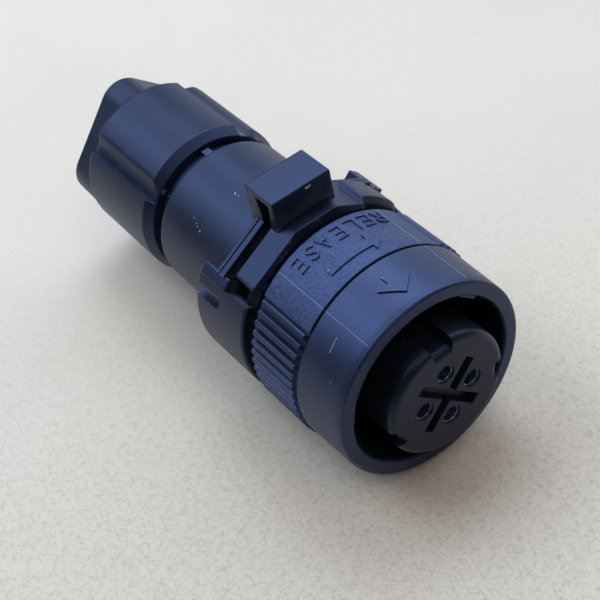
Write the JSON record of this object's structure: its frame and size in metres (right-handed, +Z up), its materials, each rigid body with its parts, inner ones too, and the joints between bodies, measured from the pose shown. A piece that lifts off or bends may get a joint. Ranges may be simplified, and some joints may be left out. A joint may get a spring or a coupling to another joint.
{
  "type": "circular bayonet cable connector plug",
  "caption": "Round plastic cable plug with a bayonet coupling ring, a latch collar with a hollow bridge, a socket contact insert and a cable gland with a lobed nut.",
  "frame": {"origin": "on the surface the plug lies on, under the middle of its length", "axes": "+X along the plug's axis towards the mating face, +Z up through the latch bridge"},
  "size_m": [0.0914, 0.0364, 0.0412],
  "materials": {
    "black_plastic": "moulded black engineering plastic, satin",
    "black_rubber": "matt rubber",
    "contact_brass": "silver plated brass",
    "bright_steel": "bright steel"
  },
  "bodies": {
    "plug_body": {"rear_shell": "black_plastic", "lock_collar": "black_plastic", "contact_insert": "black_plastic", "interface_seal": "black_rubber", "insert_lock_ring": "black_plastic", "insert_o_ring": "black_rubber", "contact_retainer": "black_plastic", "retainer_screw": "bright_steel", "contact_sleeves": "bright_steel", "terminal_screws": "bright_steel", "ring_retainer": "bright_steel", "nut_o_ring": "black_rubber", "cable_seal": "black_rubber", "clamp_cage": "black_plastic", "socket_contact_1": "contact_brass", "socket_contact_2": "contact_brass", "socket_contact_3": "contact_brass", "socket_contact_4": "contact_brass"},
    "coupling_ring": {"coupling_ring": "black_plastic"},
    "thrust_washer": {"thrust_washer": "black_plastic"},
    "gland_nut": {"gland_nut": "black_plastic"}
  },
  "joints": [
    {"name": "coupling_turn", "type": "hinge", "parent": "plug_body", "child": "coupling_ring", "pos_m": [0, 0, 0.01803], "axis": [1, 0, 0], "range_deg": [-36, 0]},
    {"name": "gland_travel", "type": "slide", "parent": "plug_body", "child": "thrust_washer", "axis": [1, 0, 0], "range_m": [-0.0045, 0]},
    {"name": "gland_turn", "type": "hinge", "parent": "thrust_washer", "child": "gland_nut", "pos_m": [0, 0, 0.01803], "axis": [1, 0, 0], "range_deg": [-1080, 0]}
  ],
  "couplings": [
    {"joint": "gland_turn", "follows": "gland_travel", "rad_per_m": 4188.8}
  ]
}
